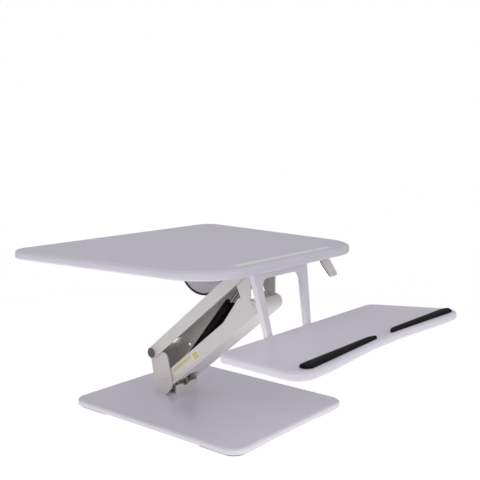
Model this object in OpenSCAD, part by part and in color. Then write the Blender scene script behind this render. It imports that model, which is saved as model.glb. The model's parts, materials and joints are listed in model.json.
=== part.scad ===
// Standing desk converter: base plate, parallelogram lift arm, worktop and keyboard tray.
// Millimetres. +X is the user's right, +Y is away from the user, +Z is up.
// The origin is on the desk surface, under the middle of the base plate.

/* [Base plate] */
// Width of the base plate, side to side
base_w = 438; // [400:2:460]
// Depth of the base plate, front to back
base_d = 536; // [500:2:560]
// Thickness of the base plate
base_t = 15; // [12:1:18]
// Corner radius of the base plate
base_corner = 36; // [20:2:60]
// Height of the rubber feet under the base plate
foot_h = 4; // [3:1:5]

/* [Worktop] */
// Width of the worktop along its back edge
top_back_w = 730; // [690:5:760]
// How much each side tapers in, per unit of depth
top_taper = 0.11; // [0.08:0.01:0.14]
// Front edge of the worktop, distance in front of the origin
top_front = 263; // [258:1:268]
// Back edge of the worktop, distance behind the origin
top_back = 319; // [300:1:330]
// Thickness of the worktop
top_t = 21; // [19:1:23]
// Height of the worktop's upper face at rest
top_z = 410; // [408:1:412]
// Radius of the two front corners
top_front_corner = 120; // [60:5:140]
// Radius of the two back corners
top_back_corner = 42; // [20:2:60]
// Length of the tablet slot
slot_len = 360; // [300:5:380]
// Width of the tablet slot
slot_w = 14; // [12:1:16]
// Depth of the tablet slot
slot_depth = 12; // [8:1:14]

/* [Keyboard tray] */
// Width of the tray along its back edge
tray_back_w = 600; // [560:5:620]
// How much each side flares out, per unit of depth
tray_flare = 0.19; // [0.15:0.01:0.22]
// Depth of the tray, front to back
tray_d = 236; // [225:1:245]
// Thickness of the tray
tray_t = 20; // [18:1:22]
// How far the middle of the front edge is set back
tray_scoop = 17; // [10:1:22]
// Tilt of the tray, front edge raised
tray_tilt = 3.2; // [2:0.1:4]
// Back edge of the tray, distance in front of the origin
tray_back = 280; // [275:1:290]
// Height of the tray's upper face at its back edge
tray_z = 255; // [252:1:258]

/* [Lift arm] */
// Distance between the two pivots of each link
link_len = 372; // [368:1:376]
// Angle of the links above horizontal at rest
link_angle = 40.2; // [39:0.1:41]
// Half height of the upper link's side walls
upper_half_h = 15; // [14:1:16]
// Half height of the lower link's side walls
lower_half_h = 18.5; // [17:0.5:19]
// Wall thickness of the links
link_wall = 3; // [2:0.5:3]
// Radius of the pivot shafts
shaft_r = 6; // [5:0.5:6]

/* [Gas spring] */
// Radius of the cylinder
gas_cylinder_r = 14; // [11:1:14]
// Radius of the piston rod
gas_rod_r = 5; // [4:0.5:5]
// Length of rod and end fitting that shows at rest
gas_rod_show = 112; // [108:1:116]

/* [Release lever] */
// Angle of the lever below horizontal at rest
lever_angle = 52; // [40:1:55]
// Length of the lever from its pin to its tip
lever_len = 58; // [54:1:66]
// Middle of the lever, distance to the right of the origin
lever_x = 200; // [195:1:210]

/* [Hidden] */

$fn = 64;
sweep_steps = 14;

// Colours
board_white = "#cfccd8";
paint_white = "#c9c4c0";
steel_grey = "#8c8c90";
rubber_black = "#202022";

// Heights of the base plate and the worktop
base_top = foot_h + base_t;
top_under = top_z - top_t;
top_depth = top_front + top_back;
top_front_w = top_back_w - 2 * top_taper * top_depth;

// Pivots, as [distance behind the origin, height]
rear_upper = [146, 124];
rear_lower = [110, 50];
link_vector = link_len * [-cos(link_angle), sin(link_angle)];
front_upper = rear_upper + link_vector;
front_lower = rear_lower + link_vector;

// Half widths of the nested walls of the arm, from the inside out
lower_out = 44;
lower_in = lower_out - link_wall;
plate_in = 45.5;
plate_t = 4;
plate_out = plate_in + plate_t;
upper_in = 51;
upper_out = upper_in + link_wall;
boss_out = upper_out + 4;
boss_r = upper_half_h - 0.5;

// Clearances
run_gap = 0.05;
press_gap = 0.02;
bush_r = shaft_r + 2;
bush_flange_r = shaft_r + 4.5;
bush_flange_t = 1.1;
shaft_head_t = 1.5;

// Gas spring line, from the front upper pivot down to the rear lower pivot
gas_vector = rear_lower - front_upper;
gas_len = norm(gas_vector);
gas_angle = atan2(gas_vector[1], gas_vector[0]);
gas_eye_r = 11;
gas_eye_half = 9;
gas_foot_r = 10;
gas_foot_half = 12;
gas_foot_neck = 26;
gas_bore_r = gas_rod_r + 0.06;
gas_guide_t = 10;
foot_pin_r = 5;
foot_pin_half = 19.5;
foot_pin_head_t = 1.5;
// The foot pin can settle down and forward in its slot, by [y, z]
foot_slot_shift = [-10.5, -9];
foot_slot_r = 7.8;

// Rack beside the lower link's right wall
rack_out = lower_in;
rack_t = 3;
rack_low = -12;
rack_high = 66;
rack_low_end_high = 50;
rack_start = 30;
rack_end = 190;
rack_pitch = 15;
rack_tooth_h = 8;
rack_rise = 62;
rack_r = 14;
rack_screw_r = 3;

// Head bracket under the worktop
head_plate_t = 4;
head_front = -168.5;
head_back = -62;
head_half_w = 62;
head_z = top_under - head_plate_t;

// Keyboard bracket, an upside-down U that leans forward
arch_half_w = 107;
arch_foot_half_w = 82;
arch_window_half_w = 79;
arch_window_foot_half_w = 66;
arch_depth = 13;
arch_wall = 3;
arch_lean = 11.3;
arch_top_y = -216.6;
arch_band = 32;
arch_corner = 20;
arch_flange_t = 4;
arch_flange_d = 46;
arch_flange_half_w = 102;
arch_foot_len = 88;
arch_foot_front = 44;
arch_foot_w = 34;
arch_foot_t = 4;

// Wrist rests
rest_inner = 24;
rest_outer = 306;
rest_inner_d = 8;
rest_outer_d = 30;
rest_t = 7;
rest_gap = 0.3;
rest_front_gap = 7;

// Half-round guard plate beside the arm
guard_x = 59;
guard_t = 3;
guard_y = 77;
guard_r = 76;
guard_low = 269;
guard_trim_r = 3;
guard_trim_lap = 3;
guard_flange = 24;

// Release lever and its bracket
lever_pivot = [-199, 379];
lever_half_w = 18;
lever_tip_half_w = 14;
lever_pin_r = 3;
lever_knuckle_r = 7;
lever_ear_in = 21;
lever_ear_t = 3;

// Release arm at the top of the gas spring's rod
arm_offset = 26;
arm_pin_r = 2.5;
arm_pin_rise = 3.5;
arm_pin_half = 12;
arm_in = 8.2;
arm_t = 2.2;

// Bowden cable from the lever to the gas spring, [x, y, z]
cable_r = 2.2;
cable_route = [
    [169, -176, 378.5], [158, -166, 380], [140, -151, 382], [118, -133, 382], [96, -118, 382],
    [76, -108, 382], [58, -103, 382], [40, -102, 381.5], [26, -102, 380], [14, -102, 378.5]
];
cable_sides = 8;

// ---------- helpers ----------

// Turns a profile drawn in [y, z] into a solid between two x positions
module across(x_low, x_high) {
    translate([x_low, 0, 0]) rotate([90, 0, 90]) linear_extrude(x_high - x_low) children();
}

module both_sides() {
    children();
    mirror([1, 0, 0]) children();
}

// Round-ended bar between two points
module bar_profile(a, b, r) {
    heading = atan2(b[1] - a[1], b[0] - a[0]);
    polygon(concat(
        arc_points(b, r, heading - 90, heading + 90, 2 * sweep_steps),
        arc_points(a, r, heading + 90, heading + 270, 2 * sweep_steps)));
}

// Places children so that local x runs from point a towards point b, in [y, z]
module along(a, b) {
    translate(a) rotate(atan2(b[1] - a[1], b[0] - a[0])) children();
}

// Points of an arc, for outlines with round corners
function arc_points(centre, r, from, to, steps = sweep_steps) =
    [for (i = [0:steps]) centre + r * [cos(from + (to - from) * i / steps), sin(from + (to - from) * i / steps)]];

// Unit vector from a to b
function unit(a, b) = (b - a) / norm(b - a);

// Round corner at b between neighbours a and c, convex or concave
function corner_points(a, b, c, r) =
    let (
        to_a = unit(b, a),
        to_c = unit(b, c),
        half = acos(to_a * to_c) / 2,
        middle = unit([0, 0], to_a + to_c),
        centre = b + middle * r / sin(half),
        start = b + to_a * r / tan(half),
        finish = b + to_c * r / tan(half),
        a0 = atan2(start[1] - centre[1], start[0] - centre[0]),
        a1_raw = atan2(finish[1] - centre[1], finish[0] - centre[0]),
        sweep_raw = a1_raw - a0,
        sweep = sweep_raw > 180 ? sweep_raw - 360 : sweep_raw < -180 ? sweep_raw + 360 : sweep_raw
    )
    arc_points(centre, r, a0, a0 + sweep);

// Closed outline from corner points and a radius for each
function round_outline(corners, radii) =
    let (n = len(corners))
    [for (i = [0:n - 1]) each corner_points(corners[(i + n - 1) % n], corners[i], corners[(i + 1) % n], radii[i])];

// Board outlines, all in [x, y]
base_outline = round_outline(
    [[-base_w / 2, -base_d / 2], [base_w / 2, -base_d / 2], [base_w / 2, base_d / 2], [-base_w / 2, base_d / 2]],
    [base_corner, base_corner, base_corner, base_corner]);
top_outline = round_outline(
    [[-top_front_w / 2, -top_front], [top_front_w / 2, -top_front],
     [top_back_w / 2, top_back], [-top_back_w / 2, top_back]],
    [top_front_corner, top_front_corner, top_back_corner, top_back_corner]);

// The tray's own frame: origin at the middle of its back edge, y negative towards the user
tray_front_w = tray_back_w + 2 * tray_flare * tray_d;
tray_corners = [
    [-tray_back_w / 2, 0], [-tray_front_w / 2, -tray_d], [-tray_front_w / 2 + 96, -tray_d],
    [-60, -tray_d + tray_scoop], [60, -tray_d + tray_scoop],
    [tray_front_w / 2 - 96, -tray_d], [tray_front_w / 2, -tray_d], [tray_back_w / 2, 0]
];
tray_outline = round_outline(tray_corners, [24, 38, 200, 300, 300, 200, 38, 24]);

module in_tray_frame() {
    translate([0, -tray_back, tray_z]) rotate([-tray_tilt, 0, 0]) children();
}

// Ring of a bush: sleeve through a wall and a flange beside it, running along +x from the wall's face
module bush(wall_t, flange_side) {
    difference() {
        union() {
            across(0, wall_t) circle(bush_r);
            flange_x = flange_side > 0 ? wall_t : -bush_flange_t;
            across(flange_x, flange_x + bush_flange_t) circle(bush_flange_r);
        }
        across(-2 * bush_flange_t, wall_t + 2 * bush_flange_t) circle(shaft_r + run_gap);
    }
}

module at_pivot(pivot) {
    translate([0, pivot[0], pivot[1]]) children();
}

// Pan-head screw pointing up, head below the given point
module screw_up(head_r, head_t, body_r, body_len) {
    translate([0, 0, -head_t]) cylinder(r = head_r, h = head_t);
    cylinder(r = body_r, h = body_len);
}

// ---------- base ----------

module base_plate() {
    color(board_white) difference() {
        translate([0, 0, foot_h]) linear_extrude(base_t) polygon(base_outline);
        for (p = base_bolt_places) translate([p[0], p[1], foot_h - 1]) cylinder(r = 3.2, h = base_t + 2);
        for (p = base_bolt_places) translate([p[0], p[1], foot_h - 1]) cylinder(r = 7, h = 6);
    }
}

// Long soft feet that follow the corners
module base_feet() {
    inset = 7;
    foot_w = 15;
    r_out = base_corner - inset;
    arm = 74;
    color(rubber_black)
    for (sx = [-1, 1], sy = [-1, 1])
        translate([sx * (base_w / 2 - base_corner), sy * (base_d / 2 - base_corner), 0])
        rotate([0, 0, sx > 0 ? (sy > 0 ? 0 : -90) : (sy > 0 ? 90 : 180)])
        linear_extrude(foot_h) {
            intersection() {
                difference() {
                    circle(r_out);
                    circle(r_out - foot_w);
                }
                square(base_corner);
            }
            translate([-arm, r_out - foot_w]) square([arm, foot_w]);
            translate([r_out - foot_w, -arm]) square([foot_w, arm]);
            translate([-arm, r_out - foot_w / 2]) circle(foot_w / 2);
            translate([r_out - foot_w / 2, -arm]) circle(foot_w / 2);
        }
}

base_bolt_places = [for (x = [-28, 28], y = [97, 125]) [x, y]];
floor_front = 77;
floor_back = 136;
floor_t = 4;
lip_t = 4;
lip_top = 46;
lip_half_w = 37;
back_web_top = 111;
back_web_t = 4;
lip_dip_r = 16;
lip_dip_low = 38.8;
lug_in = 14.6;
lug_t = 3;
lug_r = 12.5;

module base_cheek_profile() {
    difference() {
        union() {
            polygon([
                [floor_back, base_top], [104, base_top], [84, 40], [81, 58], [88, 77], [94, 106],
                [98, 121], [104, 128], [rear_upper[0] - 8, rear_upper[1] + 10.5],
                [rear_upper[0] + 14, rear_upper[1]]
            ]);
            translate(rear_upper) circle(14);
            translate(rear_lower) circle(15);
        }
        translate(rear_upper) circle(shaft_r + press_gap);
        translate(rear_lower) circle(shaft_r + press_gap);
        translate([0, base_top - 40]) square([400, 40]);
    }
}

// Slotted ear that carries one end of the gas spring's foot pin
module foot_lug_profile() {
    difference() {
        union() {
            bar_profile(rear_lower + [0.5, 1], rear_lower + foot_slot_shift, lug_r);
            translate([rear_lower[0] - 23, base_top + floor_t - 0.5]) square([35.5, rear_lower[1] - base_top - floor_t]);
        }
        bar_profile(rear_lower + [0.5, 1], rear_lower + foot_slot_shift, foot_slot_r);
        translate([0, base_top - 40]) square([400, 40]);
    }
}

// Back web between the cheeks, just inside their back edge
module back_web_profile() {
    lean = (rear_upper[0] + 14 - floor_back) / (rear_upper[1] - base_top);
    low = [floor_back - 0.6, base_top + 0.5];
    high = low + (back_web_top - low[1]) * [lean, 1];
    polygon([low, high, high - [back_web_t, 0], low - [back_web_t, 0]]);
}

// Two cheeks, a floor, a back web and a front lip, folded from one plate, with two slotted ears between
module base_bracket() {
    color(paint_white) {
        both_sides() across(plate_in, plate_out) base_cheek_profile();
        across(-plate_in - 0.5, plate_in + 0.5) back_web_profile();
        both_sides() across(lug_in, lug_in + lug_t) foot_lug_profile();
        difference() {
            translate([-plate_in - 0.5, floor_front + 27, base_top])
                cube([2 * plate_in + 1, floor_back - floor_front - 27, floor_t]);
            bracket_bolt_holes();
        }
        difference() {
            union() {
                translate([-lip_half_w, floor_front, base_top]) cube([2 * lip_half_w, 28, floor_t]);
                translate([-lip_half_w, floor_front, base_top]) cube([2 * lip_half_w, lip_t, lip_top - base_top]);
            }
            bracket_bolt_holes();
            translate([0, floor_front - 1, lip_dip_low + lip_dip_r]) rotate([-90, 0, 0])
                cylinder(r = lip_dip_r, h = lip_t + 2);
        }
    }
}

module bracket_bolt_holes() {
    for (p = base_bolt_places) translate([p[0], p[1], base_top - 1]) cylinder(r = 3.2, h = floor_t + 2);
}

module base_bracket_bolts() {
    color(steel_grey)
    for (p = base_bolt_places) translate([p[0], p[1], 0]) {
        translate([0, 0, foot_h + 5]) cylinder(r = 3, h = base_t + floor_t - 5);
        translate([0, 0, foot_h + 1]) cylinder(r = 6, h = 4);
        translate([0, 0, base_top + floor_t]) cylinder(r = 5.5, h = 3.5, $fn = 6);
    }
}

module bracket_spacer_tube() {
    color(paint_white) at_pivot(rear_upper) difference() {
        across(-plate_in, plate_in) circle(10);
        across(-plate_in - 1, plate_in + 1) circle(shaft_r + 0.4);
    }
}

module rear_upper_shaft() {
    color(steel_grey) at_pivot(rear_upper) across(-upper_out - 1.6, upper_out + 1.6) circle(shaft_r);
}

// Two shoulder pins, so that the gas spring's foot has room between them
module rear_lower_pins() {
    color(steel_grey) both_sides() at_pivot(rear_lower) {
        across(lower_in - 1, plate_out) circle(shaft_r);
        across(plate_out, plate_out + shaft_head_t) circle(bush_flange_r);
    }
}

// ---------- upper link ----------

// The web stops short of the front pivot, to leave room for the release arm and its wire
upper_web_cut = 58;

module upper_link() {
    color(paint_white) {
        both_sides() difference() {
            union() {
                across(upper_in, upper_out) bar_profile(rear_upper, front_upper, upper_half_h);
                across(upper_out - 1, boss_out) translate(rear_upper) circle(boss_r);
            }
            across(upper_in - 1, upper_out + 1) {
                translate(rear_upper) circle(bush_r + press_gap);
                translate(front_upper) circle(bush_r + press_gap);
            }
            across(upper_out, boss_out + 1) translate(rear_upper) circle(13.1);
        }
        across(-upper_in - 0.5, upper_in + 0.5) along(rear_upper, front_upper)
            translate([17, -upper_half_h]) square([link_len - 17 - upper_web_cut, link_wall]);
    }
}

module upper_link_bushes() {
    color(rubber_black) both_sides() for (p = [rear_upper, front_upper])
        at_pivot(p) translate([upper_in, 0, 0]) bush(link_wall, -1);
}

module pivot_end_caps() {
    color("#55555a") both_sides() at_pivot(rear_upper) {
        across(upper_out + 2, boss_out + 0.6) circle(13);
        across(upper_out + 0.05, upper_out + 2) difference() {
            circle(13);
            circle(11);
        }
    }
}

// ---------- lower link ----------

lower_web_start = 39;
// Notch in the web's lower end, for the gas spring's cylinder in the highest position
lower_notch_end = 66;
lower_notch_half_w = 19;
lower_web_wrap = -25;
lower_web_r = lower_half_h - 0.1;

// Web on the underside of the link, with a curl round its nose
module lower_web_profile() {
    nose = [link_len, 0];
    polygon(concat(
        [[lower_web_start, lower_web_r]],
        [[lower_web_start, lower_web_r - link_wall]],
        arc_points(nose, lower_web_r - link_wall, 90, lower_web_wrap),
        arc_points(nose, lower_web_r, lower_web_wrap, 90)));
}

// Raised shoulder on top of each side wall near the front pivot, in the rack's frame
module lower_shoulder_profile() {
    polygon(round_outline(
        [[255, 0], [255, 15], [344, 39], [361, 36], [370, 10], [370, 0]],
        [1, 1, 12, 8, 1, 1]));
}

module lower_link() {
    color(paint_white) {
        both_sides() difference() {
            across(lower_in, lower_out) {
                bar_profile(rear_lower, front_lower, lower_half_h);
                in_rack_frame() lower_shoulder_profile();
            }
            across(lower_in - 1, lower_out + 1) {
                translate(rear_lower) circle(bush_r + press_gap);
                translate(front_lower) circle(bush_r + press_gap);
            }
        }
        difference() {
            across(-lower_in - 0.5, lower_in + 0.5) along(rear_lower, front_lower) lower_web_profile();
            across(-lower_notch_half_w, lower_notch_half_w) along(rear_lower, front_lower)
                translate([lower_web_start - 5, lower_web_r - link_wall - 5])
                    square([lower_notch_end - lower_web_start + 5, link_wall + 10]);
        }
        at_pivot(front_lower) difference() {
            across(-lower_in - 0.5, lower_in + 0.5) circle(bush_r + 3);
            across(-lower_in - 1, lower_in + 1) circle(bush_r + press_gap);
        }
    }
}

module lower_link_bushes() {
    color(rubber_black) both_sides() for (p = [rear_lower, front_lower])
        at_pivot(p) translate([lower_in, 0, 0]) bush(link_wall, 1);
}

// Toothed bar with round ends. Its profile runs along the link, with the teeth on top
module rack_profile() {
    difference() {
        polygon(round_outline(
            [[rack_start, rack_low], [rack_end, rack_low], [rack_end, rack_high], [rack_rise + 8, rack_high],
             [rack_rise, rack_low_end_high], [rack_start, rack_low_end_high]],
            [rack_r, rack_r, rack_r, 4, 6, rack_r]));
        for (x = [rack_rise + 14:rack_pitch:rack_end - rack_r - rack_pitch + 1])
            polygon([[x, rack_high + 0.1], [x + rack_pitch - 5, rack_high + 0.1], [x + 5, rack_high - rack_tooth_h]]);
        for (x = rack_screw_x) translate([x, 0]) circle(rack_screw_r + press_gap);
    }
}

rack_screw_x = [rack_start + 20, rack_end - 20];

// The rack's own frame: x along the lower link, y up and back
module in_rack_frame() {
    along(rear_lower, front_lower) mirror([0, 1]) children();
}

module lock_rack() {
    color(paint_white) across(rack_out - rack_t, rack_out) in_rack_frame() rack_profile();
}

module lock_rack_screws() {
    color(steel_grey) {
        across(rack_out - rack_t, rack_out) in_rack_frame()
            for (x = rack_screw_x) translate([x, 0]) circle(rack_screw_r);
        across(rack_out - rack_t - 2.5, rack_out - rack_t) in_rack_frame()
            for (x = rack_screw_x) translate([x, 0]) circle(rack_screw_r + 2.5);
    }
}

// ---------- head bracket and worktop ----------

head_screw_places = [for (x = [-32, 32], y = [head_front + 10, -114, head_back - 10]) [x, y]];

module head_cheek_profile() {
    difference() {
        union() {
            polygon([
                [-168, head_z], [-168, 304], front_lower + [-13, 2], front_lower + [6, -12],
                [-139, 309], [-124, 342], [-117, head_z]
            ]);
            translate(front_lower) circle(13.5);
        }
        translate(front_upper) circle(shaft_r + press_gap);
        translate(front_lower) circle(shaft_r + press_gap);
    }
}

module head_bracket() {
    color(paint_white) {
        difference() {
            translate([-head_half_w, head_front, head_z])
                cube([2 * head_half_w, head_back - head_front, head_plate_t]);
            for (p = head_screw_places) translate([p[0], p[1], head_z - 1]) cylinder(r = 2.6, h = head_plate_t + 2);
        }
        both_sides() across(plate_in, plate_out) head_cheek_profile();
    }
}

module head_bracket_screws() {
    color(steel_grey) for (p = head_screw_places) translate([p[0], p[1], head_z]) screw_up(4.6, 2.4, 2.5, 16);
}

module front_upper_shaft() {
    color(steel_grey) at_pivot(front_upper) across(-upper_out - 3, upper_out + 3) circle(shaft_r);
}

module front_lower_shaft() {
    color(steel_grey) at_pivot(front_lower) across(-plate_out - 2.6, plate_out + 2.6) circle(shaft_r);
}

// Clip rings that keep the three long shafts from sliding sideways
module clip_ring() {
    difference() {
        across(0, 1.2) circle(shaft_r + 3);
        across(-1, 2.2) circle(shaft_r + press_gap);
    }
}

module shaft_retaining_rings() {
    color(steel_grey) both_sides() {
        at_pivot(front_upper) translate([upper_out + 0.3, 0, 0]) clip_ring();
        at_pivot(front_lower) translate([plate_out, 0, 0]) clip_ring();
    }
}

slot_y = -top_front + 32;

module slot_profile(extra) {
    translate([-slot_len / 2 + slot_w / 2, slot_y - slot_w / 2 - extra]) square([slot_len - slot_w, slot_w + 2 * extra]);
    for (sx = [-1, 1]) translate([sx * (slot_len - slot_w) / 2, slot_y]) circle(slot_w / 2 + extra);
}

liner_t = 1.5;
liner_rim = 4.5;
liner_rim_t = 1.5;

module worktop() {
    color(board_white) difference() {
        translate([0, 0, top_under]) linear_extrude(top_t) polygon(top_outline);
        translate([0, 0, top_z - slot_depth]) linear_extrude(slot_depth + 1) slot_profile(liner_t + 0.05);
        translate([0, 0, top_z - liner_rim_t]) linear_extrude(slot_depth) slot_profile(liner_rim + 0.1);
        for (p = head_screw_places) translate([p[0], p[1], top_under - 1]) cylinder(r = 2.52, h = 14);
        for (p = arch_screw_places) translate([p[0], p[1], top_under - 1]) cylinder(r = 2.52, h = 14);
    }
}

// Moulded insert that lines the tablet slot
module tablet_slot_liner() {
    color("#e4e2ec") difference() {
        union() {
            translate([0, 0, top_z - slot_depth]) linear_extrude(slot_depth) slot_profile(liner_t);
            translate([0, 0, top_z - liner_rim_t]) linear_extrude(liner_rim_t) slot_profile(liner_rim);
        }
        translate([0, 0, top_z - slot_depth + liner_t]) linear_extrude(slot_depth + 2) slot_profile(0);
    }
}

// ---------- keyboard bracket and tray ----------

arch_screw_places = [for (x = [-86, -30, 30, 86]) [x, arch_top_y + 27]];
arch_height = (top_under - tray_z + tray_t) / cos(arch_lean) + 30;
arch_foot_x = (arch_foot_half_w + arch_window_foot_half_w) / 2;

// Front outline of the frame, an upside-down U whose legs come closer together going down.
// Drawn in [x, distance down from the worktop]; inset > 0 gives the outline of the hollow in its back
module arch_face(inset) {
    outer_top = arch_half_w - inset;
    outer_foot = arch_foot_half_w - inset;
    inner_top = arch_window_half_w + inset;
    inner_foot = arch_window_foot_half_w + inset;
    band = arch_band - inset;
    right_inside = corner_points([inner_foot, arch_height + 1], [inner_top, band], [0, band], arch_corner + inset);
    left_inside = corner_points([0, band], [-inner_top, band], [-inner_foot, arch_height + 1], arch_corner + inset);
    polygon(concat(
        [[-outer_top, inset], [outer_top, inset], [outer_foot, arch_height], [inner_foot, arch_height]],
        right_inside, left_inside,
        [[-inner_foot, arch_height], [-outer_foot, arch_height]]));
}

// Leaning frame with a hollow back, so that it has a front skin and a rim all round
module arch_body() {
    translate([0, arch_top_y, top_under + 8]) rotate([-90 - arch_lean, 0, 0]) difference() {
        linear_extrude(arch_depth) arch_face(0);
        translate([0, 0, arch_wall]) linear_extrude(arch_depth) arch_face(arch_wall);
    }
}

module keyboard_bracket() {
    color("#e2dfe6") {
        difference() {
            arch_body();
            translate([-200, arch_top_y - 100, top_under - 0.5]) cube([400, 200, 100]);
            in_tray_frame() translate([-200, -150, -tray_t - arch_foot_t - 99.5]) cube([400, 260, 100]);
        }
        difference() {
            translate([-arch_flange_half_w, arch_top_y - 0.5, top_under - arch_flange_t])
                cube([2 * arch_flange_half_w, arch_flange_d, arch_flange_t]);
            for (p = arch_screw_places)
                translate([p[0], p[1], top_under - arch_flange_t - 1]) cylinder(r = 2.6, h = arch_flange_t + 2);
        }
        for (sx = [-1, 1]) difference() {
            in_tray_frame() translate([sx * arch_foot_x - arch_foot_w / 2, -arch_foot_front, -tray_t - arch_foot_t])
                cube([arch_foot_w, arch_foot_len, arch_foot_t]);
            in_tray_frame() for (y = tray_screw_y)
                translate([sx * arch_foot_x, y, -tray_t - arch_foot_t - 1]) cylinder(r = 2.6, h = arch_foot_t + 2);
        }
    }
}

tray_screw_y = [-34, -12];

module keyboard_bracket_screws() {
    color(steel_grey) for (p = arch_screw_places)
        translate([p[0], p[1], top_under - arch_flange_t]) screw_up(4.6, 2.4, 2.5, 16);
}

module keyboard_tray() {
    color(board_white) in_tray_frame() difference() {
        translate([0, 0, -tray_t]) linear_extrude(tray_t) polygon(tray_outline);
        for (sx = [-1, 1], y = tray_screw_y)
            translate([sx * arch_foot_x, y, -tray_t - 1]) cylinder(r = 2.52, h = 14);
    }
}

module tray_screws() {
    color(steel_grey) in_tray_frame() for (sx = [-1, 1], y = tray_screw_y)
        translate([sx * arch_foot_x, y, -tray_t - arch_foot_t]) screw_up(4.6, 2.4, 2.5, 16);
}

// Tapered pad: narrow and pointed at the middle of the tray, broad and round at the outside
module wrist_rest_profile() {
    front_outer = -tray_d + rest_front_gap;
    front_inner = -tray_d + tray_scoop + rest_front_gap;
    polygon(round_outline(
        [[rest_inner, front_inner], [rest_outer, front_outer], [rest_outer + 6, front_outer + rest_outer_d],
         [rest_inner + 26, front_inner + rest_inner_d + 6]],
        [3, 14, 15, 40]));
}

module right_wrist_rest() {
    color(rubber_black) in_tray_frame() translate([0, 0, rest_gap]) linear_extrude(rest_t) wrist_rest_profile();
}

module left_wrist_rest() {
    color(rubber_black) mirror([1, 0, 0]) in_tray_frame()
        translate([0, 0, rest_gap]) linear_extrude(rest_t) wrist_rest_profile();
}

// ---------- guard plate ----------

module guard_profile(extra) {
    r = guard_r + extra;
    polygon(concat(
        arc_points([guard_y, guard_low + guard_r], r, 180, 360, 4 * sweep_steps),
        [[guard_y + r, top_under], [guard_y - r, top_under]]));
}

guard_screw_places = [for (y = [guard_y - 48, guard_y + 48]) [guard_x + guard_t + guard_flange / 2, y]];

module guard_plate() {
    color("#b4b0b4") {
        across(guard_x, guard_x + guard_t) intersection() {
            guard_profile(0);
            translate([guard_y - 200, guard_low - 10]) square([400, top_under - guard_low + 10]);
        }
        difference() {
            translate([guard_x, guard_y - 66, top_under - guard_t]) cube([guard_flange + guard_t, 132, guard_t]);
            for (p = guard_screw_places) translate([p[0], p[1], top_under - guard_t - 1]) cylinder(r = 2.1, h = 8);
        }
    }
}

// Rubber bead pushed over the plate's round edge
module guard_edge_trim() {
    color(rubber_black) across(guard_x - 1.5, guard_x + guard_t + 1.5) difference() {
        intersection() {
            guard_profile(guard_trim_r);
            translate([guard_y - 200, guard_low - 20]) square([400, top_under - guard_low + 16]);
        }
        guard_profile(0);
    }
    color(rubber_black) for (x = [guard_x - 1.5, guard_x + guard_t]) across(x, x + 1.5) intersection() {
        difference() {
            guard_profile(guard_trim_r - 0.5);
            guard_profile(-guard_trim_lap);
        }
        translate([guard_y - 200, guard_low - 20]) square([400, top_under - guard_low + 16]);
    }
}

module guard_plate_screws() {
    color(steel_grey) for (p = guard_screw_places)
        translate([p[0], p[1], top_under - guard_t]) translate([0, 0, -2]) cylinder(r = 4, h = 2);
}

// ---------- release lever ----------

module lever_bracket() {
    color(paint_white) {
        translate([lever_x - lever_ear_in - 16, lever_pivot[0] - 4, top_under - lever_ear_t])
            cube([2 * lever_ear_in + 32, 34, lever_ear_t]);
        for (sx = [-1, 1]) translate([lever_x + sx * (lever_ear_in + lever_ear_t / 2), 0, 0]) difference() {
            across(-lever_ear_t / 2, lever_ear_t / 2) {
                translate(lever_pivot) circle(8);
                translate([lever_pivot[0] - 8, lever_pivot[1]]) square([38, top_under - lever_pivot[1] - 1]);
            }
            at_pivot(lever_pivot) across(-lever_ear_t, lever_ear_t) circle(lever_pin_r + press_gap);
        }
    }
}

lever_screw_places = [for (sx = [-1, 1]) [lever_x + sx * (lever_ear_in + 11), lever_pivot[0] + 18]];

module lever_bracket_screws() {
    color(steel_grey) for (p = lever_screw_places)
        translate([p[0], p[1], top_under - lever_ear_t - 2]) cylinder(r = 4, h = 2);
}

module lever_pin() {
    color(steel_grey) translate([lever_x, 0, 0]) at_pivot(lever_pivot) {
        across(-lever_ear_in - lever_ear_t, lever_ear_in + lever_ear_t) circle(lever_pin_r);
        across(lever_ear_in + lever_ear_t, lever_ear_in + lever_ear_t + 1.5) circle(lever_pin_r + 2);
    }
}

// Torsion spring on the pin, between the lever's knuckle and the left ear
module lever_return_spring() {
    color(steel_grey) translate([lever_x - lever_ear_in + 0.6, 0, 0]) at_pivot(lever_pivot)
        for (i = [0:2]) rotate([0, 90, 0]) translate([0, 0, 0.8 + 1.75 * i])
            rotate_extrude() translate([lever_pin_r + 1.6, 0]) circle(0.8);
}

// Places children with x pointing down the lever, from its pin to its tip
module in_lever_frame() {
    translate([lever_x, 0, 0]) at_pivot(lever_pivot) rotate([lever_angle, 0, 0]) rotate([0, 0, -90]) children();
}

// Lever blade outline, in [distance from the pin, sideways]
module lever_blade(inset) {
    polygon(round_outline(
        [[4, -lever_half_w + 4 + inset], [16, -lever_half_w + inset], [lever_len - inset, -lever_tip_half_w + inset],
         [lever_len - inset, lever_tip_half_w - inset], [16, lever_half_w - inset], [4, lever_half_w - 4 - inset]],
        [2, 4, 9, 9, 4, 2]));
}

module release_lever() {
    color("#cfccc9") difference() {
        union() {
            in_lever_frame() translate([0, 0, 2]) linear_extrude(5) lever_blade(0);
            translate([lever_x, 0, 0]) at_pivot(lever_pivot)
                across(-lever_half_w + 6, lever_half_w - 1) circle(lever_knuckle_r);
        }
        translate([lever_x, 0, 0]) at_pivot(lever_pivot) across(-60, 60) circle(lever_pin_r + run_gap);
    }
}

module lever_grip_pad() {
    color("#3a3a3c") in_lever_frame() translate([0, 0, -1.2]) linear_extrude(3.2) difference() {
        lever_blade(1.2);
        translate([-20, -40]) square([20 + lever_knuckle_r + 2, 80]);
    }
}

// ---------- release cable ----------

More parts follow.
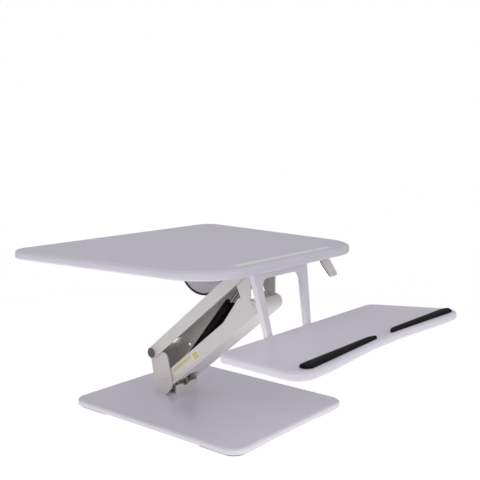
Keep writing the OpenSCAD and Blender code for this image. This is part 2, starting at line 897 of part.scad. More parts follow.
// Regular ring of points round p, square to direction d
function ring_points(p, d, r) =
    let (
        ahead = d / norm(d),
        side_raw = cross(ahead, [0, 0, 1]),
        side = side_raw / norm(side_raw),
        rise = cross(side, ahead)
    )
    [for (k = [0:cable_sides - 1]) p + r * (cos(360 * k / cable_sides) * side + sin(360 * k / cable_sides) * rise)];

function route_direction(i) =
    cable_route[min(i + 1, len(cable_route) - 1)] - cable_route[max(i - 1, 0)];

module release_cable() {
    rings = len(cable_route);
    points = [for (i = [0:rings - 1]) each ring_points(cable_route[i], route_direction(i), cable_r)];
    sides = [for (i = [0:rings - 2], k = [0:cable_sides - 1])
        [i * cable_sides + k, i * cable_sides + (k + 1) % cable_sides,
         (i + 1) * cable_sides + (k + 1) % cable_sides, (i + 1) * cable_sides + k]];
    start_cap = [[for (k = [cable_sides - 1:-1:0]) k]];
    end_cap = [[for (k = [0:cable_sides - 1]) (rings - 1) * cable_sides + k]];
    color(rubber_black) polyhedron(points, concat(sides, start_cap, end_cap), convexity = 4);
}

cable_clip_points = [3, 5];

// Saddle clips that hold the cable against the worktop
module cable_clips() {
    color(rubber_black) for (i = cable_clip_points) {
        p = cable_route[i];
        d = route_direction(i);
        translate([p[0], p[1], 0]) rotate([0, 0, atan2(d[1], d[0])]) difference() {
            translate([-4, -9, p[2] - 4]) cube([8, 18, top_under - p[2] + 4]);
            translate([-10, -3, p[2] - 5]) cube([20, 6, 8.5]);
        }
    }
}

// Small post under the head bracket that holds the end of the cable
module cable_anchor() {
    p = cable_route[len(cable_route) - 1];
    color(steel_grey) translate([p[0] - 6.2, p[1] - 6, 0]) difference() {
        translate([0, 0, p[2] - 6]) cube([6, 12, head_z - p[2] + 6]);
        translate([-1, 6, p[2]]) rotate([0, 90, 0]) cylinder(r = 1.2, h = 20);
    }
}

// ---------- gas spring ----------

// Places a profile so that local x runs down the gas spring from the front upper pivot
module in_gas_frame() {
    translate([0, front_upper[0], front_upper[1]]) rotate([gas_angle, 0, 0]) rotate([0, 0, 90]) children();
}

// Round bar along the gas spring between two distances from the front upper pivot
module gas_bar(from, to, r) {
    in_gas_frame() translate([from, 0, 0]) rotate([0, 90, 0]) cylinder(r = r, h = to - from);
}

module gas_spring_cylinder() {
    color("#161618") difference() {
        gas_bar(gas_rod_show + gas_guide_t, gas_len - gas_foot_neck, gas_cylinder_r);
        gas_bar(gas_rod_show, gas_len - gas_foot_neck - 12, gas_rod_r + 4);
    }
}

module gas_spring_end_guide() {
    color("#2a2a2c") difference() {
        gas_bar(gas_rod_show, gas_rod_show + gas_guide_t, gas_cylinder_r - 0.5);
        gas_bar(gas_rod_show - 1, gas_rod_show + gas_guide_t + 1, gas_bore_r);
    }
}

module gas_spring_foot() {
    color(steel_grey) difference() {
        union() {
            gas_bar(gas_len - gas_foot_neck, gas_len - 6, 6);
            at_pivot(rear_lower) across(-gas_foot_half, gas_foot_half) circle(gas_foot_r);
        }
        at_pivot(rear_lower) across(-20, 20) circle(foot_pin_r + press_gap);
    }
}

module gas_spring_foot_pin() {
    color(steel_grey) at_pivot(rear_lower) {
        across(-foot_pin_half, foot_pin_half) circle(foot_pin_r);
        both_sides() across(foot_pin_half - foot_pin_head_t, foot_pin_half) circle(foot_slot_r + 1);
    }
}

module gas_spring_piston() {
    color(steel_grey) difference() {
        gas_bar(gas_rod_show + 94, gas_rod_show + 106, gas_rod_r + 3.95);
        gas_bar(gas_rod_show + 90, gas_rod_show + 110, gas_rod_r + press_gap);
    }
}

module gas_spring_rod() {
    color("silver") gas_bar(30, gas_rod_show + gas_guide_t + 96, gas_rod_r);
}

module gas_rod_end() {
    color(steel_grey) difference() {
        union() {
            gas_bar(8, 36, 8);
            at_pivot(front_upper) across(-gas_eye_half, gas_eye_half) circle(gas_eye_r);
            in_gas_frame() translate([arm_offset - 6, -arm_in, -8.4]) cube([12, 2 * arm_in, 16.8]);
        }
        at_pivot(front_upper) across(-20, 20) circle(bush_r + press_gap);
        gas_bar(30, 60, gas_rod_r + press_gap);
        arm_pin_place() across(-20, 20) circle(arm_pin_r + press_gap);
    }
}

module gas_rod_bush() {
    color(rubber_black) at_pivot(front_upper) difference() {
        across(-gas_eye_half, gas_eye_half) circle(bush_r);
        across(-20, 20) circle(shaft_r + run_gap);
    }
}

// The release arm turns on a small pin through the rod's end fitting
module arm_pin_place() {
    in_gas_frame() translate([arm_offset, 0, arm_pin_rise]) rotate([0, 0, -90]) rotate([-gas_angle, 0, 0]) children();
}

// Side view of the arm, drawn in [distance down the rod, rise from the rod's centre line]
module release_arm_profile() {
    polygon([[21, -1], [31, -1], [35, 6.5], [50, 8.5], [50, 12.5], [28, 11.5], [21, 8]]);
}

module valve_release_arm() {
    color(steel_grey) difference() {
        in_gas_frame() {
            for (y = [-arm_in - 0.3, arm_in + 0.3 + arm_t]) translate([0, y, 0]) rotate([90, 0, 0])
                linear_extrude(arm_t) release_arm_profile();
            translate([45.5, -arm_in - 1, 9]) cube([4, 2 * arm_in + 2, 3]);
        }
        arm_pin_place() across(-20, 20) circle(arm_pin_r + run_gap);
    }
}

module valve_arm_pin() {
    color(steel_grey) arm_pin_place() across(-arm_pin_half, arm_pin_half) circle(arm_pin_r);
}

// ---------- output ----------

base_plate();
base_feet();
base_bracket();
base_bracket_bolts();
bracket_spacer_tube();
rear_upper_shaft();
rear_lower_pins();
upper_link();
upper_link_bushes();
pivot_end_caps();
lower_link();
lower_link_bushes();
lock_rack();
lock_rack_screws();
head_bracket();
head_bracket_screws();
front_upper_shaft();
front_lower_shaft();
shaft_retaining_rings();
worktop();
tablet_slot_liner();
keyboard_bracket();
keyboard_bracket_screws();
keyboard_tray();
tray_screws();
left_wrist_rest();
right_wrist_rest();
guard_plate();
guard_edge_trim();
guard_plate_screws();
lever_bracket();
lever_bracket_screws();
lever_pin();
lever_return_spring();
release_lever();
lever_grip_pad();
release_cable();
cable_clips();
cable_anchor();
gas_spring_cylinder();
gas_spring_end_guide();
gas_spring_foot();
gas_spring_foot_pin();
gas_spring_rod();
gas_spring_piston();
gas_rod_end();
gas_rod_bush();
valve_release_arm();
valve_arm_pin();
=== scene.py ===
"""Looks of a standing desk converter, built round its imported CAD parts.

Metres. +X is the user's right, +Y is away from the user, +Z is up. The origin is on the desk surface, under the
middle of the base plate. Sheet-metal, plastic and turned parts are the CAD nodes themselves, with their edges
broken by modifiers. Boards, wrist rests, screws, cable and spring are pieces made here that replace their node.
"""

import json
import math

import bmesh
import bpy
from mathutils import Matrix, Vector


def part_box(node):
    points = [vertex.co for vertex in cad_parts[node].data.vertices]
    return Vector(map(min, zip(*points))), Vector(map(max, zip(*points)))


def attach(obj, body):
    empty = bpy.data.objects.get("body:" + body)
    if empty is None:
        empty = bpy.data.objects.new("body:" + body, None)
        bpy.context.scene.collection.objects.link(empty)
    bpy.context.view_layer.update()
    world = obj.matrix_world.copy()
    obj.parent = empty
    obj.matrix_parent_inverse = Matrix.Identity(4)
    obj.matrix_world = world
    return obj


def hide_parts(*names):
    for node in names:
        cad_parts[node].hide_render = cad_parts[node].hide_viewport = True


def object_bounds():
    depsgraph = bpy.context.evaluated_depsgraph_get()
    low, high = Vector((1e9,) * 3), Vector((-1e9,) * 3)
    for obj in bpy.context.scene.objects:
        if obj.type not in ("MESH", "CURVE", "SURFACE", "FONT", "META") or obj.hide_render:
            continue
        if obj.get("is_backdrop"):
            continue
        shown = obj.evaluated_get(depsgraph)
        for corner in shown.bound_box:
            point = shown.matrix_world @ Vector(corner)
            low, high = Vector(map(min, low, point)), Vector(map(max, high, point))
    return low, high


MM = 0.001
SAME_POINT = 1e-6                # metres
FLAT_ENOUGH = math.radians(1)    # faces closer to one plane than this are joined
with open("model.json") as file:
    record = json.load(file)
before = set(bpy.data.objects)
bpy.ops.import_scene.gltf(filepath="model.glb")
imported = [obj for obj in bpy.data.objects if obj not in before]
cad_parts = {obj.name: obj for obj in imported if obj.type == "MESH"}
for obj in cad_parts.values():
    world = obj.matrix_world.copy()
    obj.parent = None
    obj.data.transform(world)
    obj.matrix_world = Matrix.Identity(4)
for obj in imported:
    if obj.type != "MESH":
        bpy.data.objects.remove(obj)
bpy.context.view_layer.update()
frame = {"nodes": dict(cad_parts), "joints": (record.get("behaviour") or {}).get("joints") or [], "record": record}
nodes = frame["nodes"]


# ---------- materials ----------

def linear(colour):
    """An sRGB colour in 0-255 as a linear RGBA colour."""
    def channel(c):
        c /= 255
        return c / 12.92 if c <= 0.04045 else ((c + 0.055) / 1.055) ** 2.4
    return (*[channel(c) for c in colour], 1)


def node_maker(tree):
    """A function that adds a shader node, with its inputs as sockets or values and its settings as attributes."""
    def make(kind, inputs=None, **settings):
        made = tree.nodes.new(kind)
        for key, value in settings.items():
            setattr(made, key, value)
        for key, value in (inputs or {}).items():
            if isinstance(value, bpy.types.NodeSocket):
                tree.links.new(value, made.inputs[key])
            else:
                made.inputs[key].default_value = value
        return made
    return make


NOISE_LOW, NOISE_HIGH = 0.3, 0.7    # most of a noise texture lies between these
WAVE_PERIOD = 314                   # how many mm apart a wave texture's bands are at a scale of 1


def surface(name, colour, roughness, grain=(900, 0.04), shade=0.06, blotch=9, polish=0.06, stretch=(1, 1, 1),
            weave=None, **shader):
    """A Principled material. Blotches change its colour by `shade` and its roughness by `polish`.
    grain is (how fine, how deep in mm) its surface texture is. stretch draws the grain out along an axis.
    weave is how many mm apart the ribs of a cloth are. shader sets the Principled sockets that are even all over."""
    material = bpy.data.materials.new(name)
    material.use_nodes = True
    tree = material.node_tree
    tree.nodes.clear()
    make = node_maker(tree)
    place = make("ShaderNodeTexCoord").outputs["Object"]
    cloud = make("ShaderNodeTexNoise", {"Vector": place, "Scale": blotch, "Detail": 5, "Roughness": 0.6})
    fleck_place = make("ShaderNodeMapping", {"Vector": place, "Scale": stretch})
    fleck = make("ShaderNodeTexNoise", {"Vector": fleck_place.outputs[0], "Scale": grain[0], "Detail": 3})

    base = linear(colour)
    ramp = make("ShaderNodeValToRGB", {"Fac": cloud.outputs[0]})
    for element, position, factor in zip(ramp.color_ramp.elements, (NOISE_LOW, NOISE_HIGH), (1 - shade, 1 + shade)):
        element.position = position
        element.color = (*[min(1, c * factor) for c in base[:3]], 1)
    speck = make("ShaderNodeMapRange", {"Value": fleck.outputs[0], "From Min": NOISE_LOW, "From Max": NOISE_HIGH,
                                        "To Min": 1 - shade / 2, "To Max": 1 + shade / 2})
    tinted = make("ShaderNodeVectorMath", {0: ramp.outputs[0], 1: speck.outputs[0]}, operation="MULTIPLY")
    rough = make("ShaderNodeMapRange", {"Value": cloud.outputs[0], "From Min": NOISE_LOW, "From Max": NOISE_HIGH,
                                        "To Min": roughness - polish, "To Max": roughness + polish})
    height = fleck.outputs[0]
    if weave:
        ribs = [make("ShaderNodeTexWave", {"Vector": place, "Scale": WAVE_PERIOD / weave, "Distortion": 0.6,
                                           "Detail": 1, "Detail Scale": 2},
                     wave_type="BANDS", bands_direction=axis) for axis in ("X", "Y")]
        cloth = make("ShaderNodeMath", {0: ribs[0].outputs["Fac"], 1: ribs[1].outputs["Fac"]},
                     operation="MAXIMUM")
        height = make("ShaderNodeMath", {0: cloth.outputs[0], 1: height}, operation="ADD").outputs[0]
        dark = make("ShaderNodeMapRange", {"Value": cloth.outputs[0], "To Min": 0.55, "To Max": 1.2})
        tinted = make("ShaderNodeVectorMath", {0: tinted.outputs[0], 1: dark.outputs[0]}, operation="MULTIPLY")
    bump = make("ShaderNodeBump", {"Height": height, "Distance": grain[1] * MM, "Strength": 1.0})
    shiny = make("ShaderNodeBsdfPrincipled", {"Base Color": tinted.outputs[0], "Roughness": rough.outputs[0],
                                              "Normal": bump.outputs[0]})
    for socket, value in shader.items():
        shiny.inputs[socket.replace("_", " ")].default_value = value
    make("ShaderNodeOutputMaterial", {"Surface": shiny.outputs[0]})
    return material


MATERIALS = {
    "board": surface("board_lacquer", (235, 230, 245), 0.34, grain=(700, 0.03), shade=0.012, polish=0.04,
                     Coat_Weight=0.15, Coat_Roughness=0.25),
    "tray_board": surface("tray_lacquer", (240, 235, 248), 0.36, grain=(700, 0.03), shade=0.012, polish=0.04,
                          Coat_Weight=0.15, Coat_Roughness=0.25),
    "base_board": surface("base_lacquer", (230, 227, 236), 0.22, grain=(500, 0.02), shade=0.015, polish=0.04,
                          Coat_Weight=0.4, Coat_Roughness=0.12),
    "white_plastic": surface("slot_plastic", (253, 253, 255), 0.4, grain=(1500, 0.03), shade=0.01),
    "painted_steel": surface("arm_powder_coat", (226, 222, 218), 0.42, grain=(1400, 0.09), shade=0.03, blotch=14),
    "bracket_white": surface("bracket_powder_coat", (243, 240, 245), 0.4, grain=(1400, 0.08), shade=0.02, blotch=12),
    "guard_grey": surface("guard_powder_coat", (196, 193, 196), 0.5, grain=(1200, 0.1), shade=0.03, blotch=14),
    "zinc_steel": surface("zinc_plate", (176, 177, 180), 0.3, grain=(900, 0.03), shade=0.1, blotch=60, polish=0.1,
                          stretch=(1, 6, 6), Metallic=1.0),
    "polished_rod": surface("chromed_rod", (150, 150, 154), 0.16, grain=(1500, 0.004), shade=0.02, polish=0.03,
                            stretch=(1, 8, 8), Metallic=1.0),
    "gas_black": surface("gas_spring_paint", (7, 7, 8), 0.5, grain=(900, 0.05), shade=0.2, blotch=20,
                         Specular_IOR_Level=0.15),
    "bush_nylon": surface("bush_nylon", (32, 32, 33), 0.55, grain=(1500, 0.05), shade=0.15),
    "cap_grey": surface("cap_plastic", (96, 90, 92), 0.48, grain=(1500, 0.06), shade=0.08),
    "lever_white": surface("lever_plastic", (232, 229, 226), 0.36, grain=(1300, 0.04), shade=0.02),
    "grip_dark": surface("grip_rubber", (46, 46, 48), 0.7, grain=(1000, 0.18), shade=0.15),
    "foot_rubber": surface("foot_rubber", (34, 34, 36), 0.72, grain=(900, 0.2), shade=0.18),
    "rest_foam": surface("rest_cloth", (25, 22, 24), 0.9, grain=(1800, 0.2), shade=0.3, blotch=45, weave=11,
                         Sheen_Weight=0.04, Sheen_Roughness=0.5, Specular_IOR_Level=0.15),
    "cable_black": surface("cable_sheath", (26, 26, 27), 0.45, grain=(1600, 0.05), shade=0.12),
}
LABEL_PAPER = surface("label_paper", (236, 234, 228), 0.4, grain=(1200, 0.02), shade=0.02)
LABEL_BAND = surface("label_band", (222, 212, 138), 0.4, grain=(1200, 0.02), shade=0.03)
FLOOR_PAINT = surface("floor_paint", (250, 250, 251), 0.75, grain=(300, 0.05), shade=0.004, polish=0.03,
                      Emission_Color=(1, 1, 1, 1), Emission_Strength=0.52)

slot_of = {part["node"]: part["material_slot"] for part in frame["record"]["subparts"]}
# Nodes shown in another paint than that of their slot. The pin ends and retaining rings are painted over like the
# arms. The lock rack is shown in bracket white as a painted highlight, so it reads lighter than the shaded link wall
# behind it.
painted = {"rear_lower_pins": "painted_steel", "front_lower_shaft": "painted_steel",
           "shaft_retaining_rings": "painted_steel", "lock_rack": "bracket_white"}
for name, obj in nodes.items():
    obj.data.materials.clear()
    obj.data.materials.append(MATERIALS[painted.get(name, slot_of[name])])


# ---------- making pieces ----------

def body_of(node):
    """The name of the body that a CAD node belongs to."""
    return next(body for body, members in frame["record"]["behaviour"]["bodies"].items() if node in members)


def add_mesh(name, bm, material):
    """A new smooth-shaded object from a bmesh, which is used up."""
    bmesh.ops.recalc_face_normals(bm, faces=bm.faces)
    mesh = bpy.data.meshes.new(name)
    bm.to_mesh(mesh)
    bm.free()
    mesh.shade_smooth()
    mesh.materials.append(material)
    obj = bpy.data.objects.new(name, mesh)
    bpy.context.scene.collection.objects.link(obj)
    return obj


def keep_flats_flat(obj):
    """Stops the smooth shading of an object's edges from running out over its flat faces."""
    weighted = obj.modifiers.new("flat_faces", "WEIGHTED_NORMAL")
    weighted.keep_sharp = True


def stand_for(obj, node):
    """obj takes the place of a CAD node: its body and its space."""
    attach(obj, body_of(node))
    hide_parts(node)
    return obj


def cleaned(node):
    """A copy of a CAD node's mesh in which triangles are joined into whole flat faces."""
    bm = bmesh.new()
    bm.from_mesh(nodes[node].data)
    bmesh.ops.remove_doubles(bm, verts=bm.verts, dist=SAME_POINT)
    bmesh.ops.dissolve_limit(bm, angle_limit=FLAT_ENOUGH, verts=bm.verts, edges=bm.edges)
    return bm


def skin(bm, rings):
    """Faces from each closed ring of points to the next, and a cap over both ends."""
    for one, two in zip(rings, rings[1:]):
        for k in range(len(one)):
            after = (k + 1) % len(one)
            bm.faces.new((one[k], one[after], two[after], two[k]))
    bm.faces.new(rings[0])
    bm.faces.new(rings[-1])


def islands(node):
    """The (lowest corner, highest corner) of each separate lump in a CAD node."""
    bm = cleaned(node)
    left, boxes = set(bm.verts), []
    while left:
        waiting, lump = [left.pop()], []
        while waiting:
            vert = waiting.pop()
            lump.append(vert.co.copy())
            for edge in vert.link_edges:
                other = edge.other_vert(vert)
                if other in left:
                    left.remove(other)
                    waiting.append(other)
        boxes.append((Vector([min(c[i] for c in lump) for i in range(3)]),
                      Vector([max(c[i] for c in lump) for i in range(3)])))
    bm.free()
    return sorted(boxes, key=lambda b: tuple(b[0]))


def rim_loops(bm, shortest=0.4, sharp_from=math.radians(60), level=0.3):
    """A board's outer rims, lowest first: connected loops of sharp edges between a side face and a level face.
    A loop counts when its box is more than `shortest` across corners. A face is level when its normal's z is
    over `level`."""
    sharp = {e for e in bm.edges if e.is_manifold and e.calc_face_angle() > sharp_from
             and min(abs(f.normal.z) for f in e.link_faces) < level < max(abs(f.normal.z) for f in e.link_faces)}
    loops = []
    while sharp:
        waiting, loop = [sharp.pop()], []
        while waiting:
            edge = waiting.pop()
            loop.append(edge)
            for vert in edge.verts:
                for other in vert.link_edges:
                    if other in sharp:
                        sharp.remove(other)
                        waiting.append(other)
        spots = [v.co for e in loop for v in e.verts]
        across = Vector([max(c[i] for c in spots) - min(c[i] for c in spots) for i in range(3)])
        if across.length > shortest:
            loops.append((sum(c.z for c in spots) / len(spots), loop))
    return [loop for _, loop in sorted(loops, key=lambda pair: pair[0])]


def board(node, under_radius, top_radius):
    """A painted board: the CAD board with its lower and upper rims rounded."""
    bm = cleaned(node)
    under, top = rim_loops(bm)
    for loop, radius in ((under, under_radius), (top, top_radius)):
        bmesh.ops.bevel(bm, geom=loop, offset=radius, offset_type="OFFSET", segments=7, profile=0.5,
                        affect="EDGES", clamp_overlap=False)
    obj = add_mesh(node + "_board", bm, MATERIALS[slot_of[node]])
    keep_flats_flat(obj)
    return stand_for(obj, node)


def break_edges(node, width, segments):
    """Rounds the sharp edges of a CAD node as it is shown."""
    obj = nodes[node]
    obj.data.shade_smooth()
    weld = obj.modifiers.new("weld", "WELD")
    weld.merge_threshold = SAME_POINT
    flat = obj.modifiers.new("whole_faces", "DECIMATE")
    flat.decimate_type = "DISSOLVE"
    flat.angle_limit = FLAT_ENOUGH
    bevel = obj.modifiers.new("broken_edges", "BEVEL")
    bevel.width = width
    bevel.segments = segments
    bevel.limit_method = "ANGLE"
    bevel.angle_limit = math.radians(35)
    bevel.miter_outer = "MITER_ARC"
    keep_flats_flat(obj)


def tube(name, points, radius, material, sides=14, between=6):
    """A round tube along a Catmull-Rom curve through points, with flat ends."""
    path = []
    for i in range(len(points) - 1):
        p0, p1, p2, p3 = [Vector(points[min(max(k, 0), len(points) - 1)]) for k in range(i - 1, i + 3)]
        for step in range(between):
            t = step / between
            path.append(0.5 * (2 * p1 + (p2 - p0) * t + (2 * p0 - 5 * p1 + 4 * p2 - p3) * t ** 2
                               + (3 * p1 - p0 - 3 * p2 + p3) * t ** 3))
    path.append(Vector(points[-1]))
    bm = bmesh.new()
    rings, side = [], None
    for i, spot in enumerate(path):
        ahead = (path[min(i + 1, len(path) - 1)] - path[max(i - 1, 0)]).normalized()
        side = side or ahead.orthogonal()
        side = (side - ahead * side.dot(ahead)).normalized()
        rise = ahead.cross(side)
        rings.append([bm.verts.new(spot + radius * (math.cos(a) * side + math.sin(a) * rise))
                      for a in (2 * math.pi * k / sides for k in range(sides))])
    skin(bm, rings)
    return add_mesh(name, bm, material)


def turned(name, place, rings, material, sides=36):
    """A turned part about z, moved by the matrix place. rings are (radius, height, six-sided or round)."""
    bm = bmesh.new()
    made = []
    for radius, height, six_sided in rings:
        ring = []
        for k in range(sides):
            angle = 2 * math.pi * k / sides
            reach = radius
            if six_sided:
                reach = radius / math.cos((angle + math.pi / 6) % (math.pi / 3) - math.pi / 6)
            ring.append(bm.verts.new(place @ Vector((reach * math.cos(angle), reach * math.sin(angle), height))))
        made.append(ring)
    skin(bm, made)
    obj = add_mesh(name, bm, material)
    keep_flats_flat(obj)
    return obj


def join(objs, name):
    """One object from several, which are removed."""
    bm = bmesh.new()
    for obj in objs:
        bm.from_mesh(obj.data)
    material = objs[0].data.materials[0]
    for obj in objs:
        mesh = obj.data
        bpy.data.objects.remove(obj)
        bpy.data.meshes.remove(mesh)
    joined = add_mesh(name, bm, material)
    keep_flats_flat(joined)
    return joined


def screw_rings(head_r, head_h, shank_r, shank_len):
    """A button-head screw with a hex socket, as rings for turned: head towards -z, its bearing face at z = 0."""
    socket = head_r * 0.42
    dome = [(head_r * math.sin(a), -head_h * math.cos(a) ** 0.8, False)
            for a in (math.radians(d) for d in (28, 40, 52, 64, 76, 86))]
    return ([(socket * 0.98, -head_h * 0.3, True), (socket, -head_h * 0.92, True)] + dome
            + [(head_r, -0.15 * MM, False), (head_r - 0.1 * MM, 0, False), (shank_r, 0, False),
               (shank_r, shank_len - 0.5 * MM, False), (shank_r - 0.4 * MM, shank_len, False)])


def screws(node, head_r, head_h, shank_r, axis):
    """Real screws in place of a node's plain pins. axis points from the head to the screw's tip."""
    axis = Vector(axis).normalized()
    main = max(range(3), key=lambda i: abs(axis[i]))
    made = []
    for i, (low, high) in enumerate(islands(node)):
        middle = (low + high) / 2
        length = high[main] - low[main]
        head_end = middle - axis * (length / 2)
        turn = Matrix.Translation(head_end + axis * head_h) @ axis.to_track_quat("Z", "Y").to_matrix().to_4x4()
        made.append(turned(f"{node}_{i}", turn, screw_rings(head_r, head_h, shank_r, length - head_h),
                           MATERIALS[slot_of[node]]))
    return stand_for(join(made, node + "_set"), node)


# ---------- boards ----------

board("base_plate", 3 * MM, 6 * MM)
board("worktop", 6 * MM, 8 * MM)
board("keyboard_tray", 6 * MM, 7 * MM)

# ---------- metal and plastic CAD nodes ----------

EDGE_WIDTHS = {    # mm
    "base_feet": 1.0, "base_bracket": 0.8, "bracket_spacer_tube": 0.6, "rear_upper_shaft": 0.5,
    "rear_lower_pins": 0.6, "upper_link": 0.8, "upper_link_bushes": 0.3, "pivot_end_caps": 1.2,
    "lower_link": 0.8, "lower_link_bushes": 0.3, "lock_rack": 0.5, "head_bracket": 0.8,
    "front_upper_shaft": 0.5, "front_lower_shaft": 0.5, "shaft_retaining_rings": 0.4,
    "tablet_slot_liner": 0.35, "keyboard_bracket": 0.9, "guard_plate": 0.6, "guard_edge_trim": 1.2,
    "lever_bracket": 0.5, "lever_pin": 0.5, "cable_clips": 0.7, "cable_anchor": 0.5,
    "gas_spring_cylinder": 1.5, "gas_spring_end_guide": 1.2, "gas_spring_foot": 0.8, "gas_spring_foot_pin": 0.5,
    "gas_spring_rod": 0.6, "gas_spring_piston": 0.5, "gas_rod_end": 0.7, "gas_rod_bush": 0.3,
    "valve_release_arm": 0.4, "valve_arm_pin": 0.4, "release_lever": 1.4, "lever_grip_pad": 0.8,
    "lock_rack_screws": 0.6,
}
for name, width in EDGE_WIDTHS.items():
    break_edges(name, width * MM, segments=3 if width > 1 else 2)

# ---------- screws ----------

TRAY_TILT = math.radians(3.2)
UPWARD = (0, 0, 1)
TRAY_UPWARD = (0, math.sin(TRAY_TILT), math.cos(TRAY_TILT))
M5 = (4.6 * MM, 2.4 * MM, 2.5 * MM)    # radius and height of the head, radius of the shank
M4 = (4.0 * MM, 2.0 * MM, 2.0 * MM)
for name, size, axis in (
        ("head_bracket_screws", M5, UPWARD), ("keyboard_bracket_screws", M5, UPWARD),
        ("tray_screws", M5, TRAY_UPWARD), ("guard_plate_screws", M4, UPWARD), ("lever_bracket_screws", M4, UPWARD)):
    screws(name, *size, axis)

# The base bracket's bolts: a round head in the plate's underside, and a nut above
BOLT_SHANK_R, BOLT_HEAD_R, BOLT_HEAD_H = 3 * MM, 6 * MM, 4 * MM
NUT_R, NUT_H = 4.7 * MM, 3.5 * MM
bolts = []
for i, (low, high) in enumerate(islands("base_bracket_bolts")):
    seat = Matrix.Translation(((low.x + high.x) / 2, (low.y + high.y) / 2, 0))
    top, foot = high.z, low.z
    bolts.append(turned(f"base_bolt_{i}", seat, [
        (2.2 * MM, foot, False), (5.6 * MM, foot, False), (BOLT_HEAD_R, foot + 0.4 * MM, False),
        (BOLT_HEAD_R, foot + BOLT_HEAD_H, False), (BOLT_SHANK_R, foot + BOLT_HEAD_H, False),
        (BOLT_SHANK_R, top - NUT_H, False), (NUT_R, top - NUT_H, True), (NUT_R, top - 0.5 * MM, True),
        (4.3 * MM, top, False)], MATERIALS["zinc_steel"]))
stand_for(join(bolts, "base_bolt_set"), "base_bracket_bolts")


# ---------- wrist rests ----------

END_GAP = 0.05 * MM     # how far inside the outline's ends the pad begins and stops
ROUND_OFF = 5 * MM      # where the pad is less than twice this deep, it also gets thinner
CROWN = 0.05            # the part of its height that the top loses towards its front and back


def wrist_pad(node, stations=120, around=22, power=3.0):
    """A long foam pad under black cloth, with a crowned top and a flat underside.
    It is lofted across stations along the CAD pad's outline, in the tilted frame of the tray. Its section is
    half a superellipse of the given power. Nothing in it is simulated."""
    to_world = Matrix.Rotation(-TRAY_TILT, 4, "X")
    bm = cleaned(node)
    corners = [to_world.inverted() @ v.co for v in bm.verts]
    bm.free()
    floor_z = min(p.z for p in corners)
    thick = max(p.z for p in corners) - floor_z
    ring = [p for p in corners if p.z < floor_z + thick / 2]
    middle = sum(ring, Vector()) / len(ring)
    ring.sort(key=lambda p: math.atan2(p.y - middle.y, p.x - middle.x))
    low_x, high_x = min(p.x for p in ring), max(p.x for p in ring)

    def edges_at(x):
        """The lowest and highest y of the outline at x."""
        ys = []
        for one, two in zip(ring, ring[1:] + ring[:1]):
            if (one.x - x) * (two.x - x) <= 0 and one.x != two.x:
                ys.append(one.y + (two.y - one.y) * (x - one.x) / (two.x - one.x))
        return min(ys), max(ys)

    bm = bmesh.new()
    rows = []
    for i in range(stations + 1):
        t = i / stations
        x = low_x + (high_x - low_x) * (0.5 - 0.5 * math.cos(math.pi * t))
        x = min(max(x, low_x + END_GAP), high_x - END_GAP)
        y_low, y_high = edges_at(x)
        half = (y_high - y_low) / 2
        fullness = math.sqrt(max(0.0, 1 - max(0.0, 1 - half / ROUND_OFF) ** 2))
        row = []
        for k in range(around + 1):
            a = math.pi * k / around
            across, up = math.cos(a), math.sin(a)
            y = (y_low + y_high) / 2 + half * math.copysign(abs(across) ** (2 / power), across)
            z = floor_z + thick * fullness * (abs(up) ** (2 / power)) * (1 - CROWN * across * across)
            row.append(bm.verts.new(to_world @ Vector((x, y, z))))
        rows.append(row)
    skin(bm, rows)
    obj = add_mesh(node + "_pad", bm, MATERIALS["rest_foam"])
    stand_for(obj, node)
    return obj


for rest in ("left_wrist_rest", "right_wrist_rest"):
    wrist_pad(rest)

# ---------- release cable and lever spring ----------

CABLE_ROUTE = [    # mm
    (169, -176, 378.5), (158, -166, 380), (140, -151, 382), (118, -133, 382), (96, -118, 382),
    (76, -108, 382), (58, -103, 382), (40, -102, 381.5), (26, -102, 380), (14, -102, 378.5)]
CABLE_R = 2.2 * MM
cable = tube("release_cable_sheath", [Vector(p) * MM for p in CABLE_ROUTE], CABLE_R, MATERIALS["cable_black"])
stand_for(cable, "release_cable")

spring_low, spring_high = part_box("lever_return_spring")
spring_mid = (spring_low + spring_high) / 2
WIRE_R = 0.7 * MM
TURNS, STEPS = 3, 16    # STEPS is points per turn
coil_r = (spring_high.z - spring_low.z) / 2 - WIRE_R
coil = []
for i in range(TURNS * STEPS + 1):
    angle = 2 * math.pi * i / STEPS
    along_x = spring_low.x + WIRE_R + (spring_high.x - spring_low.x - 2 * WIRE_R) * i / (TURNS * STEPS)
    coil.append(Vector((along_x, spring_mid.y + coil_r * math.cos(angle), spring_mid.z + coil_r * math.sin(angle))))
spring = tube("lever_torsion_spring", coil, WIRE_R, MATERIALS["zinc_steel"], sides=10, between=2)
stand_for(spring, "lever_return_spring")

# ---------- blank label on the lower link ----------

def pivot_of(joint):
    """Where a joint's pivot is at rest."""
    return Vector(next(j["pos_m"] for j in frame["joints"] if j["name"] == joint))


STICKER_GAP, STICKER_FACE = 0.02 * MM, 0.12 * MM    # how far a sticker's back and front are from what it is on


def sticker(name, x, corner, size, material, radius):
    """A thin sticker with round corners, lying to the left of the plane x, on the lower link's left wall.
    corner and size are measured along and across the line from the lift's pivot to the front lower one."""
    pivot = pivot_of("lift")
    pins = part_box("front_lower_shaft")
    front = (pins[0] + pins[1]) / 2
    along = Vector((0, front.y - pivot.y, front.z - pivot.z)).normalized()
    above = Vector((0, along.z, -along.y))
    start = Vector((x, pivot.y, pivot.z))
    bm = bmesh.new()
    outline = []
    for cx, cy, first in ((size[0] - radius, size[1] - radius, 0), (radius, size[1] - radius, 90),
                          (radius, radius, 180), (size[0] - radius, radius, 270)):
        for turn in (0, 22.5, 45, 67.5, 90):
            a = math.radians(first + turn)
            outline.append((corner[0] + cx + radius * math.cos(a), corner[1] + cy + radius * math.sin(a)))
    layers = [[bm.verts.new(start + along * u + above * v + Vector((-out, 0, 0))) for u, v in outline]
              for out in (STICKER_GAP, STICKER_FACE)]
    skin(bm, layers)
    obj = add_mesh(name, bm, material)
    keep_flats_flat(obj)
    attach(obj, "lower_arm")
    return obj


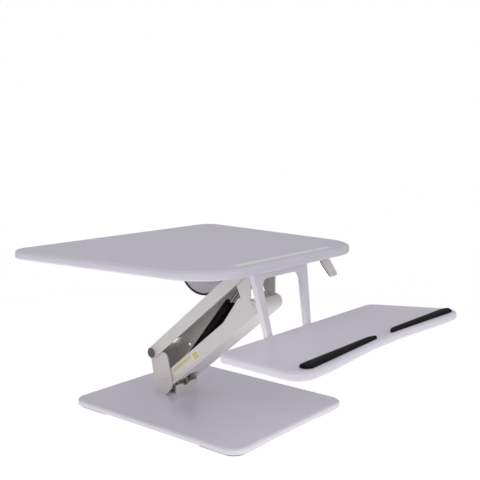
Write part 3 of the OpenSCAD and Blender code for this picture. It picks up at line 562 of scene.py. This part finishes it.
wall_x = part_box("lower_link")[0].x
on_label = wall_x - 0.14 * MM
sticker("link_label", wall_x, (42 * MM, -10 * MM), (110 * MM, 23 * MM), LABEL_PAPER, radius=1.5 * MM)
sticker("link_label_band", on_label, (45 * MM, 4.5 * MM), (76 * MM, 7 * MM), LABEL_BAND, radius=0.8 * MM)
sticker("link_label_patch", on_label, (129 * MM, -7 * MM), (18 * MM, 17 * MM), LABEL_BAND, radius=1.5 * MM)

# ---------- floor, light and camera ----------

FLOOR_R, WALL_R = 1.5, 9    # metres
floor_bm = bmesh.new()
bmesh.ops.create_circle(floor_bm, cap_ends=True, segments=96, radius=FLOOR_R)
floor = add_mesh("floor", floor_bm, FLOOR_PAINT)
floor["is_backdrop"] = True

# A white studio wall all round, which only the camera sees
wall_paint = bpy.data.materials.new("studio_wall")
wall_paint.use_nodes = True
wall_paint.node_tree.nodes.clear()
wall_node = node_maker(wall_paint.node_tree)
glow = wall_node("ShaderNodeEmission", {"Color": (1, 1, 1, 1), "Strength": 1.0})
wall_node("ShaderNodeOutputMaterial", {"Surface": glow.outputs[0]})
wall_bm = bmesh.new()
bmesh.ops.create_uvsphere(wall_bm, u_segments=48, v_segments=24, radius=WALL_R)
wall = add_mesh("wall", wall_bm, wall_paint)
for rays in ("visible_diffuse", "visible_glossy", "visible_transmission", "visible_shadow"):
    setattr(wall, rays, False)
wall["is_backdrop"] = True

AZIMUTH, ELEVATION, ROLL = (math.radians(d) for d in (-51.23, 8.0, 0.44))
CAMERA_AT = Vector((-1.4897, -1.2936, 0.7024))
LENS, SENSOR = 60.585, 36    # mm
back = Vector((math.sin(AZIMUTH) * math.cos(ELEVATION), -math.cos(AZIMUTH) * math.cos(ELEVATION),
               math.sin(ELEVATION)))
level = Vector((math.cos(AZIMUTH), math.sin(AZIMUTH), 0))
upward = back.cross(level)
right = math.cos(ROLL) * level + math.sin(ROLL) * upward
up = -math.sin(ROLL) * level + math.cos(ROLL) * upward
camera_data = bpy.data.cameras.new("camera")
camera_data.lens = LENS
camera_data.sensor_width = SENSOR
camera = bpy.data.objects.new("camera", camera_data)
camera.matrix_world = Matrix((*((right[i], up[i], back[i], CAMERA_AT[i]) for i in range(3)), (0, 0, 0, 1)))
bpy.context.scene.collection.objects.link(camera)
bpy.context.scene.camera = camera


def softbox(name, place, aim, size, watts):
    """A rectangular light at place, turned towards aim."""
    data = bpy.data.lights.new(name, "AREA")
    data.shape = "RECTANGLE"
    data.size, data.size_y = size
    data.energy = watts
    lamp = bpy.data.objects.new(name, data)
    lamp.location = place
    lamp.rotation_euler = (Vector(aim) - Vector(place)).to_track_quat("-Z", "Y").to_euler()
    bpy.context.scene.collection.objects.link(lamp)


softbox("key", place=(-2.4, -1.2, 1.3), aim=(0, -0.1, 0.25), size=(1.6, 1.4), watts=9.5)
softbox("fill", place=(0.8, -2.6, 1.1), aim=(0, -0.1, 0.25), size=(1.8, 1.4), watts=8.5)
softbox("top", place=(0.2, 0.6, 2.6), aim=(0, 0, 0.3), size=(2.2, 2.2), watts=9.5)
WORLD_STRENGTH = 0.38
world = bpy.data.worlds.new("studio")
world.use_nodes = True
sky = world.node_tree.nodes["Background"]
sky.inputs["Color"].default_value = (1, 1, 1, 1)
sky.inputs["Strength"].default_value = WORLD_STRENGTH
bpy.context.scene.world = world
bpy.context.scene.view_settings.view_transform = "Standard"

# ---------- bounds of what is shown ---

low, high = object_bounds()
